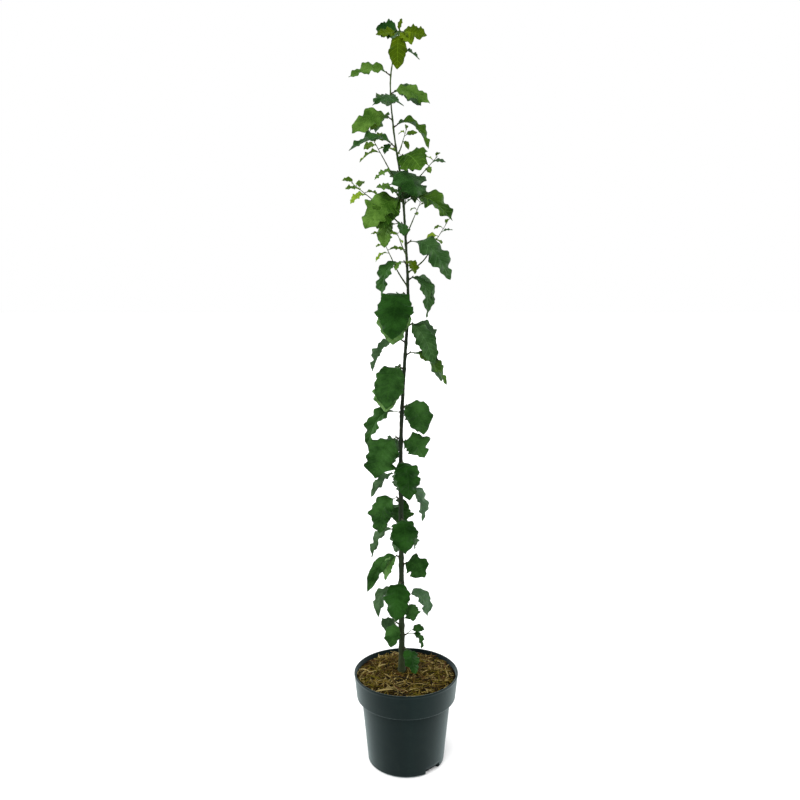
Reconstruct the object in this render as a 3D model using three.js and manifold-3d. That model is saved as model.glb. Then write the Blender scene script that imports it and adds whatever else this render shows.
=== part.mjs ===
// A young columnar plum tree in a round nursery pot, in millimetres, +Z up.
// The origin is the middle of the pot's flat underside. +X is to the right of the
// tree seen from its front, and the front looks towards -Y.
import * as THREE from "three";
import { mergeVertices } from "three/addons/utils/BufferGeometryUtils.js";
import Module from "manifold-3d";

const wasm = await Module();
wasm.setup();

// Driving dimensions

const GAP = 0.3; // clearance between two pieces that touch on the real plant

const POT = {
  height: 195,
  footRadius: 81,
  footEdge: 4, // bevel of the foot
  bodyTopRadius: 94.5,
  collarFootHeight: 142,
  collarFootRadius: 104.5,
  rimRadius: 110,
  rimWidth: 3.5,
  rimEdge: 1.2, // bevel of the rim
  wall: 2,
  floor: 3,
  facets: 36,
};

// Drainage cuts in the foot
const NOTCH = { turn: -46, count: 2, width: 40, height: 14, depth: 24 };

const SOIL = {
  edgeHeight: 188,
  crownHeight: 195,
  crownRadius: 24,
  shoulderRadius: 72,
  shoulderRise: 0.6, // share of the way up from the edge to the crown
};

const TRUNK = {
  footRadius: 6.7,
  tipRadius: 1.1,
  taper: 0.8,
  flare: 2.4, // extra radius at the soil
  flareHeight: 16,
  sides: 8,
  steps: 32,
  // height above the ground, then lean to the right and to the back
  line: [
    [195.3, -9, 0],
    [400, -10, 2],
    [560, -11, -2],
    [700, -11, -3],
    [830, -5, 1],
    [977, 3, 3],
    [1095, -2, 0],
    [1195, -9, -2],
    [1300, -25, 2],
    [1400, -31, 3],
    [1476, -16, 0],
  ],
};

const SPUR = { reach: 7, rise: 30, footRadius: 2.1, tipRadius: 1.3, sides: 3 };

const SHOOT = { footRadius: 1.7, tipRadius: 0.9, endRadius: 0.5, sides: 4, steps: 4 };

const LEAF = {
  stations: 6, // cross sections along a blade
  smallStations: 3,
  smallLength: 42,
  bend: 2.6, // how soon a blade bends down to its hang
  widest: 0.86, // below 1 the widest place is nearer the stalk
  fullness: 0.62, // the lower, the blunter the oval's ends
  pointStart: 0.82,
  rollShare: 1 / 6, // share of the blade in which it turns to its roll
  stalkRadius: 0.8,
  midrib: 1 / 50, // thickness in the middle of the blade, as a share of its length
  thinnest: 1,
  ruffle: 0.05, // height of the margin's waves, as a share of the length
  sunk: 2.5, // how far a stalk's root goes into its stem
  divergence: 144, // turn from one leaf to the next on a stem
};

// Small leaves on a shoot's end. A pair of values is a range.
const SHOOT_LEAF = {
  start: 0.6, // place of the first leaf, in steps from leaf to leaf
  firstTurn: 50, // turn of the first leaf from the shoot's own heading
  stalk: 5,
  slimness: 0.44, // width as a share of the length
  shrink: 0.4, // how much shorter a leaf is at the tip
  lengths: [0.85, 1.15], // by chance, as shares of the length
  rises: [10, 60], // from the foot of the leafy end to its tip
  hangs: [20, 60], // by chance
  lessHang: 40, // how much less a leaf hangs at the tip
  rolls: [-50, 50], // by chance
  fold: 14,
};

// Leaves that stand on the trunk, from the foot to the tip. Each spur has its height on
// the trunk and its leaves. A leaf has its turn round the trunk from +X, its stalk, length
// and width, the angle at which it rises, the angle at which its tip hangs, its roll and
// the fold of its two halves.
const SPURS = [
  [244, [[-58, 8, 56, 36, 0, 68, 0, -8]]],
  [272, [[-6, 13, 42, 18, 5, 85, 30, 20], [-24, 18, 28, 18, 44, 6, 44, 10]]],
  [296, [[-114, 6, 50, 34, -20, 80, -10, -10], [112, 14, 66, 36, 4, 66, 0, 10]]],
  [352, [[-12, 14, 70, 31, 42, 85, 30, 16], [-46, 15, 36, 36, -46, 80, 10, -6]]],
  [364, [[160, 9, 88, 28, 10, 88, 40, 20], [94, 16, 76, 42, 0, 72, -62, 12]]],
  [388, [[-102, 8, 86, 54, 5, 85, 0, -8]]],
  [428, [[-28, 1, 53, 48, 26, 50, 40, 8]]],
  [444, [[206, 5, 98, 28, 6, 66, -30, 20], [228, 6, 56, 22, 0, 74, -20, 10]]],
  [498, [
    [34, 13, 62, 32, 0, 90, 10, 22],
    [102, 12, 72, 40, -24, 76, 60, 8],
    [158, 19, 88, 24, -8, 74, 40, 26],
  ]],
  [524, [[-80, 8, 78, 56, 8, 85, 0, -8]]],
  [566, [[200, 8, 84, 50, -8, 88, -40, 8], [75, 14, 58, 50, -52, 85, 180, -6]]],
  [582, [[14, 2, 84, 38, 4, 88, 35, 24]]],
  [620, [[150, 14, 80, 24, -18, 58, 35, 28], [88, 14, 80, 44, 4, 72, -60, 8]]],
  [645, [[-72, 8, 88, 54, 5, 85, 0, -6]]],
  [688, [[-32, 0, 60, 54, 28, 56, 40, 6]]],
  [694, [[212, 8, 92, 66, -20, 76, -38, -4], [108, 12, 76, 42, -24, 74, 62, 10]]],
  [744, [[185, 13, 98, 40, 10, 76, -34, 18], [40, 10, 70, 42, 16, 76, -30, 8]]],
  [760, [[-38, 0, 80, 54, 22, 76, 34, 4]]],
  [838, [
    [240, 7, 98, 60, -4, 80, -28, -6],
    [212, 16, 84, 60, -40, 88, -26, 0],
    [104, 12, 80, 44, -14, 64, -58, 10],
  ]],
  [866, [[-10, 9, 96, 38, 0, 60, 26, 16], [20, 16, 86, 34, 0, 66, -16, 18]]],
  [892, [[176, 17, 78, 34, -10, 72, 35, 24]]],
  [924, [[-28, 1, 96, 42, -24, 70, 38, 4], [34, 6, 72, 40, 4, 66, -36, 10]]],
  [984, [
    [246, 8, 112, 70, 4, 84, -22, -6],
    [230, 18, 92, 64, -44, 88, -24, 0],
    [104, 12, 78, 42, -12, 66, 60, 10],
  ]],
  [1016, [[-4, 2, 94, 30, -2, 96, 46, 8], [14, 8, 78, 26, 6, 92, -42, 8]]],
  [1046, [
    [-46, 8, 36, 26, 12, 72, 10, 10],
    [-140, 5, 27, 15, 5, 60, 0, 16],
    [184, 14, 84, 36, -4, 90, -44, 12],
  ]],
  [1086, [[-14, 9, 110, 52, 2, 64, 46, 0]]],
  [1120, [[-86, 3, 40, 26, -6, 52, -34, 10], [182, 14, 56, 36, 0, 90, -48, 8]]],
  [1160, [
    [-18, 7, 110, 54, 42, 48, 38, 10],
    [76, 10, 66, 42, 60, -10, 0, 10],
    [124, 12, 76, 44, 20, 50, -56, 8],
  ]],
  [1168, [
    [204, 1, 98, 56, 4, 56, -54, 0],
    [214, 2, 80, 50, -16, 62, -50, 0],
    [206, 4, 54, 40, 64, 0, -30, 8],
  ]],
  [1220, [
    [-46, 6, 76, 80, 5, 66, 14, -16],
    [-176, 12, 40, 22, 10, 40, -30, 10],
    [80, 8, 56, 44, 14, 50, 0, 8],
  ]],
  [1250, [[-54, 1, 74, 58, 15, 44, 38, -4], [64, 5, 54, 38, 14, 44, -20, 8]]],
  [1270, [[194, 5, 90, 36, 42, 32, -34, 18], [222, 3, 28, 15, 5, 70, -20, 12]]],
  [1308, [[-8, 3, 86, 30, 36, 66, 26, 26]]],
  [1322, [[194, 1, 84, 37, 24, 42, -60, 6], [116, 12, 62, 32, 30, 44, -20, 8]]],
  [1370, [[-6, 0, 76, 34, 23, 34, 56, 8], [30, 8, 62, 28, 28, 42, -44, 8]]],
  [1363, [[-89, 4, 52, 57, 6, 36, -4, -26], [92, 8, 60, 42, 14, 14, 0, 8]]],
  [1404, [[178, 5, 74, 30, 36, 24, -58, 12]]],
  [1442, [[-14, 9, 40, 15, 12, 45, 20, 24]]],
];

// Leaves of the rosette that ends the trunk, in the same order of sizes.
const ROSETTE = [
  [60, 3, 25, 10, 76, -66, 0, 26],
  [197, 3, 44, 24, -8, 14, -50, 8],
  [174, 3, 42, 42, 10, -6, -60, 8],
  [-8, 6, 48, 32, -4, 14, 60, 8],
  [-34, 5, 36, 26, -26, 56, 44, 8],
  [-104, 9, 66, 34, -62, 88, 0, -6],
  [110, 6, 36, 22, 20, 20, 0, 10],
];

// Side shoots: name, height on the trunk, turn, length of the bare limb, its rise, how much
// it lifts on the way, length of the leafy end, its leaves and the length of the largest.
const SHOOTS = [
  ["shoot_left_foot", 1002, 154, 74, 54, 8, 44, 6, 40],
  ["shoot_right_tip", 1030, 20, 84, 36, 20, 46, 5, 30],
  ["shoot_left_bent", 1064, 230, 30, 50, 8, 20, 4, 22],
  ["shoot_right_inner", 1100, 30, 46, 62, 2, 32, 4, 20],
  ["shoot_left_long", 1114, 162, 100, 44, -6, 44, 6, 44],
  ["shoot_right_high", 1184, 26, 68, 40, 6, 36, 5, 32],
  ["shoot_left_high", 1186, 150, 88, 56, 2, 56, 7, 46],
  ["shoot_top_right", 1256, 10, 24, 60, 12, 26, 5, 28],
];

const COLOURS = {
  pot: { color: 0x2b3233, roughness: 0.5, metalness: 0 },
  soil: { color: 0x6b5430, roughness: 1, metalness: 0 },
  bark: { color: 0x39402c, roughness: 0.8, metalness: 0 },
  shoot: { color: 0x4f6a30, roughness: 0.6, metalness: 0 },
  foliage: { color: 0x2c5a20, roughness: 0.5, metalness: 0 },
  youngFoliage: { color: 0x5f8a2c, roughness: 0.5, metalness: 0 },
};

// Helpers

const { degToRad, radToDeg, lerp, clamp } = THREE.MathUtils;
const UP = new THREE.Vector3(0, 0, 1);

// A repeatable number from 0 to 1 for each pair of whole numbers.
function chance(seed, index) {
  const wave = Math.sin(seed * 12.9898 + index * 78.233) * 43758.5453;
  return wave - Math.floor(wave);
}

// Moves every corner of a geometry by a rule.
function reshape(geometry, rule) {
  const corners = geometry.getAttribute("position");
  const corner = new THREE.Vector3();
  for (let i = 0; i < corners.count; i++) {
    corner.fromBufferAttribute(corners, i);
    const moved = rule(corner);
    corners.setXYZ(i, moved.x, moved.y, moved.z);
  }
  return geometry;
}

function solidOf(geometry) {
  const bare = geometry.clone();
  bare.deleteAttribute("normal");
  bare.deleteAttribute("uv");
  const merged = mergeVertices(bare);
  const vertProperties = new Float32Array(merged.getAttribute("position").array);
  const triVerts = new Uint32Array(merged.index.array);
  return new wasm.Manifold(new wasm.Mesh({ numProp: 3, vertProperties, triVerts }));
}

function geometryOf(solid) {
  const { vertProperties, triVerts } = solid.getMesh();
  const geometry = new THREE.BufferGeometry();
  geometry.setAttribute("position", new THREE.BufferAttribute(vertProperties, 3));
  geometry.setIndex(new THREE.BufferAttribute(triVerts, 1));
  geometry.computeVertexNormals();
  return geometry;
}

function join(solids) {
  return solids.reduce((whole, solid) => whole.add(solid));
}

// The largest body of a solid, without the scraps that a cut leaves.
function largestBody(solid) {
  const bodies = solid.decompose();
  return bodies.reduce((best, body) => (body.volume() > best.volume() ? body : best));
}

// The outward direction at a turn round the trunk and a rise above level, in degrees.
function outward(turn, rise) {
  const level = Math.cos(degToRad(rise));
  const right = level * Math.cos(degToRad(turn));
  const back = level * Math.sin(degToRad(turn));
  return new THREE.Vector3(right, back, Math.sin(degToRad(rise)));
}

function turnOf(direction) {
  return radToDeg(Math.atan2(direction.y, direction.x));
}

// A closed turned solid about +Z from a profile of [radius, height].
function turned(profile) {
  const outline = profile.map(([radius, height]) => new THREE.Vector2(radius, height));
  return solidOf(new THREE.LatheGeometry(outline, POT.facets).rotateX(Math.PI / 2));
}

// A round limb along a curve whose radius is a function of the share of its length.
function limb(curve, radiusAt, sides, steps) {
  const frames = curve.computeFrenetFrames(steps);
  const tube = new THREE.CylinderGeometry(1, 1, 1, sides, steps);
  reshape(tube, (corner) => {
    const step = Math.round((corner.y + 0.5) * steps);
    const radius = radiusAt(step / steps);
    return curve
      .getPointAt(step / steps)
      .addScaledVector(frames.normals[step], corner.x * radius)
      .addScaledVector(frames.binormals[step], -corner.z * radius);
  });
  return solidOf(tube);
}

function straightLimb(from, to, footRadius, tipRadius, sides) {
  const line = new THREE.LineCurve3(from, to);
  return limb(line, (share) => lerp(footRadius, tipRadius, share), sides, 1);
}

// The pot and what fills it

const collarInsideHeight = POT.collarFootHeight + 2 * POT.wall;
const rimInside = POT.rimRadius - POT.rimWidth;

function makePot() {
  const { wall, floor, footEdge, rimEdge } = POT;
  const body = turned([
    [0, 0],
    [POT.footRadius - footEdge, 0],
    [POT.footRadius, footEdge],
    [POT.bodyTopRadius, POT.collarFootHeight],
    [POT.collarFootRadius, POT.collarFootHeight + 1],
    [POT.rimRadius, POT.height - rimEdge],
    [POT.rimRadius - rimEdge, POT.height],
    [rimInside, POT.height],
    [POT.collarFootRadius - wall, collarInsideHeight],
    [POT.bodyTopRadius - wall, POT.collarFootHeight],
    [POT.footRadius - wall, floor + footEdge],
    [POT.footRadius - wall - footEdge, floor],
    [0, floor],
  ]);
  const cuts = Array.from({ length: NOTCH.count }, (_, i) => {
    const block = new THREE.BoxGeometry(NOTCH.depth, NOTCH.width, NOTCH.height * 2);
    block.translate(POT.footRadius, 0, 0);
    block.rotateZ(degToRad(NOTCH.turn + (i * 360) / NOTCH.count));
    return solidOf(block);
  });
  return body.subtract(join(cuts));
}

// The compost follows the inside of the pot and rises to a low crown round the trunk.
function makeSoil() {
  const clear = POT.wall + 2 * GAP;
  const bodyInside = (height) => {
    const foot = POT.floor + POT.footEdge;
    const share = (height - foot) / (POT.collarFootHeight - foot);
    return lerp(POT.footRadius, POT.bodyTopRadius, share) - clear;
  };
  const collarInside = (height) => {
    const share = (height - collarInsideHeight) / (POT.height - collarInsideHeight);
    return lerp(POT.collarFootRadius - clear, rimInside - 2 * GAP, share);
  };
  const aboveNotch = NOTCH.height + POT.wall;
  const insideNotch = POT.footRadius - NOTCH.depth - clear;
  return turned([
    [0, POT.floor + GAP],
    [insideNotch, POT.floor + GAP],
    [insideNotch, aboveNotch],
    [bodyInside(aboveNotch), aboveNotch],
    [bodyInside(POT.collarFootHeight), POT.collarFootHeight],
    [collarInside(collarInsideHeight), collarInsideHeight + 2 * GAP],
    [collarInside(SOIL.edgeHeight), SOIL.edgeHeight],
    [SOIL.shoulderRadius, lerp(SOIL.edgeHeight, SOIL.crownHeight, SOIL.shoulderRise)],
    [SOIL.crownRadius, SOIL.crownHeight],
    [0, SOIL.crownHeight],
  ]);
}

// The trunk

const trunkLine = new THREE.CatmullRomCurve3(
  TRUNK.line.map(([height, right, back]) => new THREE.Vector3(right, back, height)),
);
const trunkFoot = TRUNK.line[0][0];
const trunkTip = TRUNK.line.at(-1)[0];

function trunkRadius(height) {
  const share = clamp((height - trunkFoot) / (trunkTip - trunkFoot), 0, 1);
  const flare = TRUNK.flare * Math.exp((trunkFoot - height) / TRUNK.flareHeight);
  return lerp(TRUNK.footRadius, TRUNK.tipRadius, share ** TRUNK.taper) + flare;
}

// The trunk's middle at a height, found by halving.
function trunkAt(height) {
  let [low, high] = [0, 1];
  for (let i = 0; i < 30; i++) {
    const share = (low + high) / 2;
    if (trunkLine.getPointAt(share).z < height) low = share;
    else high = share;
  }
  return trunkLine.getPointAt(low);
}

function makeTrunk(clearance) {
  const radiusAt = (share) => trunkRadius(trunkLine.getPointAt(share).z) + clearance;
  const whole = limb(trunkLine, radiusAt, TRUNK.sides, TRUNK.steps);
  return whole.trimByPlane([0, 0, 1], trunkFoot);
}

// Leaves

// Half a blade's width at a share of its length: a broad oval drawn out to a short point.
function halfWidth(share) {
  const point = clamp((share - LEAF.pointStart) / (1 - LEAF.pointStart), 0, 1);
  const oval = Math.sin(Math.PI * share ** LEAF.widest) ** LEAF.fullness;
  return 0.5 * oval * (1 - 0.5 * point ** 1.5);
}

// The middle line of a blade in its own upright plane: at each station how far out and up
// it has come, and its slope there.
function bladeLine(length, rise, hang, stations) {
  const slopeAt = (share) => degToRad(rise - (rise + hang) * (1 - (1 - share) ** LEAF.bend));
  const line = [{ out: 0, up: 0, slope: slopeAt(0) }];
  for (let i = 1; i <= stations; i++) {
    const last = line[i - 1];
    const slope = slopeAt((i - 0.5) / stations);
    const step = length / stations;
    line.push({
      out: last.out + step * Math.cos(slope),
      up: last.up + step * Math.sin(slope),
      slope: slopeAt(i / stations),
    });
  }
  return line;
}

// Turns the diagonals in every second column of a four-sided tube's faces, so that the upper
// and the lower side of a ruffled blade are folded along the same lines.
function matchSides(tube, steps) {
  const corners = tube.index.array;
  for (let i = 0; i < 4 * steps; i++) {
    if (Math.floor(i / steps) % 2 === 0) continue;
    const [a, b, d, , c] = corners.subarray(6 * i, 6 * i + 6);
    corners.set([a, b, c, a, c, d], 6 * i);
  }
  return tube;
}

// One leaf with its stalk as a closed blade: a four-sided stalk that opens into a flat
// section with two margins and a midrib, from the root point outwards.
function makeLeaf(root, sizes, seed) {
  const [turn, stalk, length, width, rise, hang, roll, fold] = sizes;
  const stations = length > LEAF.smallLength ? LEAF.stations : LEAF.smallStations;
  const line = bladeLine(length, rise, hang, stations);
  const away = outward(turn, 0);
  const side = new THREE.Vector3().crossVectors(UP, away);
  const along = outward(turn, rise);
  const foot = root.clone().addScaledVector(along, stalk);
  const thickness = Math.max(LEAF.thinnest, length * LEAF.midrib);

  const onStalk = (across, depth) =>
    root
      .clone()
      .addScaledVector(along, -LEAF.sunk)
      .addScaledVector(side, across * LEAF.stalkRadius)
      .addScaledVector(along.clone().cross(side), depth * LEAF.stalkRadius);

  const onBlade = (station, across, depth) => {
    const { out, up, slope } = line[station];
    const share = station / stations;
    const tangent = outward(turn, radToDeg(slope));
    const spin = degToRad(roll) * Math.min(1, share / LEAF.rollShare);
    const sideways = side.clone().applyAxisAngle(tangent, spin);
    const face = tangent.clone().cross(sideways);
    const half = Math.max(LEAF.stalkRadius, width * halfWidth(share));
    const wave = Math.cos(Math.PI * (station + across / 2) + seed);
    const ruffle = LEAF.ruffle * length * wave * Math.sin(Math.PI * share);
    const lift = Math.abs(across) * (half * Math.sin(degToRad(fold)) + ruffle);
    return foot
      .clone()
      .addScaledVector(away, out)
      .addScaledVector(UP, up)
      .addScaledVector(sideways, across * half * Math.cos(degToRad(fold)))
      .addScaledVector(face, lift + (depth * thickness) / 2);
  };

  const tube = matchSides(new THREE.CylinderGeometry(1, 1, 1, 4, stations + 1), stations + 1);
  reshape(tube, (corner) => {
    const station = Math.round((corner.y + 0.5) * (stations + 1)) - 1;
    const across = Math.round(corner.x);
    const depth = -Math.round(corner.z);
    return station < 0 ? onStalk(across, depth) : onBlade(station, across, depth);
  });
  return solidOf(tube);
}

// A short spur on the trunk with its leaves, cut clear of the bark.
function makeSpur(height, leaves, clearOfTrunk, seed) {
  const middle = trunkAt(height);
  const mean = new THREE.Vector3();
  leaves.forEach(([turn]) => mean.add(outward(turn, 0)));
  const reach = trunkRadius(height) + SPUR.reach;
  const tip = middle.clone().addScaledVector(outward(turnOf(mean), SPUR.rise), reach);
  const stem = straightLimb(middle, tip, SPUR.footRadius, SPUR.tipRadius, SPUR.sides);
  const blades = leaves.map((sizes, i) => makeLeaf(tip, sizes, seed + i));
  return largestBody(join([stem, ...blades]).subtract(clearOfTrunk));
}

// The rosette stands over the cut tip of the trunk, on a stem of its own.
function makeRosette(seed) {
  const along = trunkLine.getTangentAt(1);
  const foot = trunkLine.getPointAt(1).addScaledVector(along, GAP);
  const tip = foot.clone().addScaledVector(along, SPUR.reach);
  const stem = straightLimb(foot, tip, TRUNK.tipRadius, SPUR.tipRadius, SPUR.sides);
  return join([stem, ...ROSETTE.map((sizes, i) => makeLeaf(tip, sizes, seed + i))]);
}

// The line of a side shoot from the middle of the trunk.
function shootLine(height, turn, length, rise, lift) {
  const foot = trunkAt(height);
  const middle = foot.clone().addScaledVector(outward(turn, rise), length / 2);
  const tip = middle.clone().addScaledVector(outward(turn, rise + lift), length / 2);
  return new THREE.CatmullRomCurve3([foot, middle, tip]);
}

function makeShootLimb(line, clearOfTrunk) {
  const radiusAt = (share) => lerp(SHOOT.footRadius, SHOOT.tipRadius, share);
  return largestBody(limb(line, radiusAt, SHOOT.sides, SHOOT.steps).subtract(clearOfTrunk));
}

// The leafy end of a shoot: a stem that goes on from the limb, with leaves set round it.
// A leaf that would touch the trunk is left out.
function makeShootEnd(line, length, count, largest, clearOfTrunk, seed) {
  const along = line.getTangentAt(1);
  const foot = line.getPointAt(1).addScaledVector(along, GAP);
  const tip = foot.clone().addScaledVector(along, length);
  const stem = straightLimb(foot, tip, SHOOT.tipRadius, SHOOT.endRadius, SHOOT.sides);
  const { start, firstTurn, stalk, slimness, shrink, lengths, rises, hangs, lessHang, rolls, fold } =
    SHOOT_LEAF;
  const blades = Array.from({ length: count }, (_, i) => {
    const share = (i + start) / count;
    const root = foot.clone().lerp(tip, share);
    const turn = turnOf(along) + firstTurn + LEAF.divergence * i;
    const size = largest * (1 - shrink * share) * lerp(...lengths, chance(seed, i));
    const rise = lerp(...rises, share);
    const hang = lerp(...hangs, chance(seed, i + count)) - lessHang * share;
    const roll = lerp(...rolls, chance(seed, i + 2 * count));
    const sizes = [turn, stalk, size, size * slimness, rise, hang, roll, fold];
    return makeLeaf(root, sizes, seed + i);
  });
  return join([stem, ...blades.filter((blade) => blade.intersect(clearOfTrunk).isEmpty())]);
}

// Assembly

const tree = new THREE.Group();

function place(name, solid, look) {
  const mesh = new THREE.Mesh(geometryOf(solid), new THREE.MeshStandardMaterial(COLOURS[look]));
  mesh.name = name;
  tree.add(mesh);
}

place("pot", makePot(), "pot");
place("soil", makeSoil(), "soil");
place("trunk", makeTrunk(0), "bark");

const clearOfTrunk = makeTrunk(GAP);

SPURS.forEach(([height, leaves], i) => {
  const name = `leaves_${String(i + 1).padStart(2, "0")}`;
  place(name, makeSpur(height, leaves, clearOfTrunk, i), "foliage");
});

place("leaves_tip", makeRosette(SPURS.length), "youngFoliage");

SHOOTS.forEach(([name, height, turn, length, rise, lift, endLength, count, largest], i) => {
  const line = shootLine(height, turn, length, rise, lift);
  const end = makeShootEnd(line, endLength, count, largest, clearOfTrunk, i);
  place(name, makeShootLimb(line, clearOfTrunk), "shoot");
  place(`${name}_leaves`, end, "youngFoliage");
});

export default tree;
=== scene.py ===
import math
import bpy
import numpy as np
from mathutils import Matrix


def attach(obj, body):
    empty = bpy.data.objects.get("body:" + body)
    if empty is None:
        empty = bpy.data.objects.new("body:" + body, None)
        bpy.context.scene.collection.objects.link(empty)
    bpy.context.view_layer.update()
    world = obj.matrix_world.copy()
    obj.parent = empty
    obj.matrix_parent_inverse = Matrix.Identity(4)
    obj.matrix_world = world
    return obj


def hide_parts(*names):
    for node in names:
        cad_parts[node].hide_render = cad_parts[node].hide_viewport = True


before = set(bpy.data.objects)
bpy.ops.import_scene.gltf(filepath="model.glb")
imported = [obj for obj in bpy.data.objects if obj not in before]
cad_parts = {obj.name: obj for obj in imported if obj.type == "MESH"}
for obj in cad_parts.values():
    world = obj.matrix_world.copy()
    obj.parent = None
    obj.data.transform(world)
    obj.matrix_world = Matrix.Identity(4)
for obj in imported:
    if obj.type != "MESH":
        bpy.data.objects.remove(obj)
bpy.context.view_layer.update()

mm = 0.001  # settings are in millimetres and degrees where no note says otherwise
clearGap = 0.3  # between pieces that meet on the plant
upward = np.array([0, 0, 1.0])
print("solids loaded:", len(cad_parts))


# shader helpers

class Wire:  # a socket that can be written into a sum
    def __init__(self, finish, socket):
        self.finish = finish
        self.socket = socket

    def maths(self, operation, first, second):
        return self.finish.node("ShaderNodeMath", {"operation": operation}, {0: first, 1: second})

    def __add__(self, other):
        return self.maths("ADD", self, other)

    def __sub__(self, other):
        return self.maths("SUBTRACT", self, other)

    def __rsub__(self, other):
        return self.maths("SUBTRACT", other, self)

    def __mul__(self, other):
        return self.maths("MULTIPLY", self, other)

    __radd__ = __add__
    __rmul__ = __mul__


def paint(red, green, blue):  # 0 to 255, as the colour picker shows them
    shares = [c / 255 for c in (red, green, blue)]
    linear = [c / 12.92 if c < 0.04 else ((c + 0.055) / 1.055) ** 2.4 for c in shares]
    return (*linear, 1.0)


class Finish:  # one material and its nodes
    def __init__(self, name):
        self.material = bpy.data.materials.new(name)
        self.material.use_nodes = True
        self.tree = self.material.node_tree
        self.shader = self.tree.nodes["Principled BSDF"]
        self.place = self.node("ShaderNodeTexCoord", {}, {}, "Object")

    def node(self, kind, settings, inputs, output=0):
        made = self.tree.nodes.new(kind)
        for key, value in settings.items():
            if key == "stops":
                self.setStops(made.color_ramp, value)
            else:
                setattr(made, key, value)
        for key, value in inputs.items():
            self.plug(made.inputs[key], value)
        return Wire(self, made.outputs[output])

    def setStops(self, ramp, stops):
        while len(ramp.elements) < len(stops):
            ramp.elements.new(0.5)
        for element, (position, tone) in zip(ramp.elements, stops):
            element.position = position
            element.color = paint(*tone)

    def plug(self, socket, value):
        if isinstance(value, Wire):
            self.tree.links.new(value.socket, socket)
        else:
            socket.default_value = value

    def noise(self, scale, detail=3.0, place=None):
        spot = place or self.place
        return self.node("ShaderNodeTexNoise", {}, {"Vector": spot, "Scale": scale, "Detail": detail})

    def cells(self, scale, feature="DISTANCE_TO_EDGE"):
        settings = {"feature": feature}
        return self.node("ShaderNodeTexVoronoi", settings, {"Vector": self.place, "Scale": scale})

    def stretched(self, x, y, z):
        return self.node("ShaderNodeMapping", {}, {"Vector": self.place, "Scale": (x, y, z)})

    def height(self):  # metres above the floor
        return self.node("ShaderNodeSeparateXYZ", {}, {0: self.place}, "Z")

    def ramp(self, value, stops):
        return self.node("ShaderNodeValToRGB", {"stops": stops}, {0: value})

    def step(self, value, low, high):  # 0 below low, 1 above high
        inputs = {"Value": value, "From Min": low, "From Max": high}
        return self.node("ShaderNodeMapRange", {"interpolation_type": "SMOOTHSTEP"}, inputs)

    def blend(self, share, first, second):  # each of the two is a tone or a wire
        inks = [ink if isinstance(ink, Wire) else paint(*ink) for ink in (first, second)]
        return self.node("ShaderNodeMix", {"data_type": "RGBA"}, {0: share, 6: inks[0], 7: inks[1]}, 2)

    def bump(self, height, strength, distance):
        inputs = {"Height": height, "Strength": strength, "Distance": distance}
        return self.node("ShaderNodeBump", {}, inputs)

    def surface(self, inputs):
        for key, value in inputs.items():
            self.plug(self.shader.inputs[key], value)
        return self.material


# mesh helpers

def deselectAll():
    if bpy.context.object and bpy.context.object.mode != "OBJECT":
        bpy.ops.object.mode_set(mode="OBJECT")
    bpy.ops.object.select_all(action="DESELECT")


def addToFrame(piece, slot, *nodes):
    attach(piece, "root")
    if nodes:
        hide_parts(*nodes)
    piece.data.calc_loop_triangles()
    print("made", piece.name, "with", len(piece.data.loop_triangles), "triangles")


def applyModifier(piece, kind, **settings):
    modifier = piece.modifiers.new(kind.lower(), kind)
    for key, value in settings.items():
        setattr(modifier, key, value)
    bpy.context.view_layer.objects.active = piece
    bpy.ops.object.modifier_apply(modifier=modifier.name)


def roughen(piece, size, height, middle, direction, group=""):  # uneven relief in the mesh itself
    clouds = bpy.data.textures.new("clouds", "CLOUDS")
    clouds.noise_scale = size * mm
    applyModifier(piece, "DISPLACE", texture=clouds, strength=height * mm, mid_level=middle,
                  direction=direction, vertex_group=group, texture_coords="LOCAL")


def smoothAll(mesh):
    mesh.polygons.foreach_set("use_smooth", np.ones(len(mesh.polygons), bool))


def drawUp(sides, foot, rings):  # a round piece drawn up ring by ring, still in edit mode
    deselectAll()
    radius, height = foot
    bpy.ops.mesh.primitive_circle_add(
        vertices=sides, radius=radius * mm, fill_type="NGON",
        location=(0, 0, height * mm), enter_editmode=True)
    bpy.ops.mesh.select_all(action="SELECT")
    for nextRadius, nextHeight in rings:
        rise = (nextHeight - height) * mm
        bpy.ops.mesh.extrude_region_move(TRANSFORM_OT_translate={"value": (0, 0, rise)})
        scale = nextRadius / radius
        bpy.ops.transform.resize(value=(scale, scale, 1), center_override=(0, 0, nextHeight * mm))
        radius, height = nextRadius, nextHeight


def leaveEdit(name):  # faces outwards, and the place in the mesh
    bpy.ops.mesh.select_all(action="SELECT")
    bpy.ops.mesh.normals_make_consistent(inside=False)
    bpy.ops.object.mode_set(mode="OBJECT")
    piece = bpy.context.object
    piece.name = name
    deselectAll()
    piece.select_set(True)
    bpy.ops.object.transform_apply(location=True, rotation=True, scale=True)
    return piece


class Heap:  # many small shapes that end as one mesh
    def __init__(self):
        self.points = []
        self.faces = []
        self.kinds = []
        self.count = 0

    def add(self, points, faces, kinds=0):
        self.points.append(points)
        self.faces.append(faces + self.count)
        self.kinds.append(np.broadcast_to(kinds, len(faces)))
        self.count += len(points)

    def piece(self, name, materials):
        mesh = bpy.data.meshes.new(name)
        mesh.from_pydata(np.vstack(self.points) * mm, [], np.vstack(self.faces))
        for material in materials:
            mesh.materials.append(material)
        mesh.polygons.foreach_set("material_index", np.concatenate(self.kinds).astype(np.int32))
        smoothAll(mesh)
        mesh.update()
        piece = bpy.data.objects.new(name, mesh)
        bpy.context.scene.collection.objects.link(piece)
        return piece


def chance(seed, index):  # a repeatable number from 0 to 1
    wave = np.sin(seed * 12.9898 + index * 78.233) * 43758.5453
    return wave - np.floor(wave)


def mix(low, high, share):
    return low + (high - low) * share


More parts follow.
